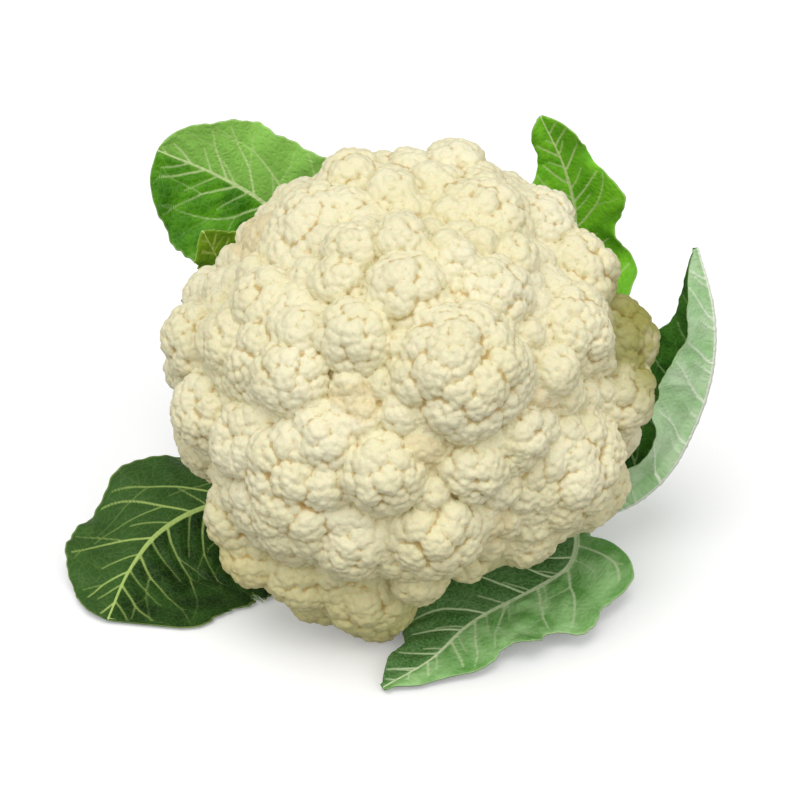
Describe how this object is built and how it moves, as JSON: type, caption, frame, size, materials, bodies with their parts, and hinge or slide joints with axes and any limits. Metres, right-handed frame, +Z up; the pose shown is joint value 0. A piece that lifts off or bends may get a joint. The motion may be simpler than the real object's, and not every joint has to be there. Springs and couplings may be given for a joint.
{
  "type": "cauliflower",
  "caption": "Trimmed cauliflower head with a cream curd of branching florets, a cut stalk and green waved outer leaves, lying tipped forward.",
  "frame": {"origin": "middle of the stalk's cut face, on the surface that the head lies on", "axes": "+Z up from the surface, -Y the way the head is tipped, +X to the right seen from there; the head's own axis leans 20 degrees towards -Y and 7 degrees towards +X"},
  "size_m": [0.234, 0.1857, 0.1585],
  "materials": {
    "curd": "cream-white, matt and finely beaded, tan in the creases",
    "stalk": "pale green rind with fine fibres, cream on the cut face",
    "bright_leaf": "bright green, satin, with pale branching veins",
    "young_leaf": "yellow-green, satin, toothed",
    "pale_leaf": "grey-green waxy outer face, darker green inside",
    "dark_leaf": "dark bluish green, satin, with pale veins",
    "mid_leaf": "mid green, satin, with pale veins"
  },
  "bodies": {
    "root": {"curd": "curd", "stalk": "stalk", "leaf_back_left": "bright_leaf", "leaf_back_right": "bright_leaf", "leaf_inner_small": "young_leaf", "leaf_right": "pale_leaf", "leaf_front_left": "dark_leaf", "leaf_front_right": "mid_leaf"}
  },
  "joints": []
}
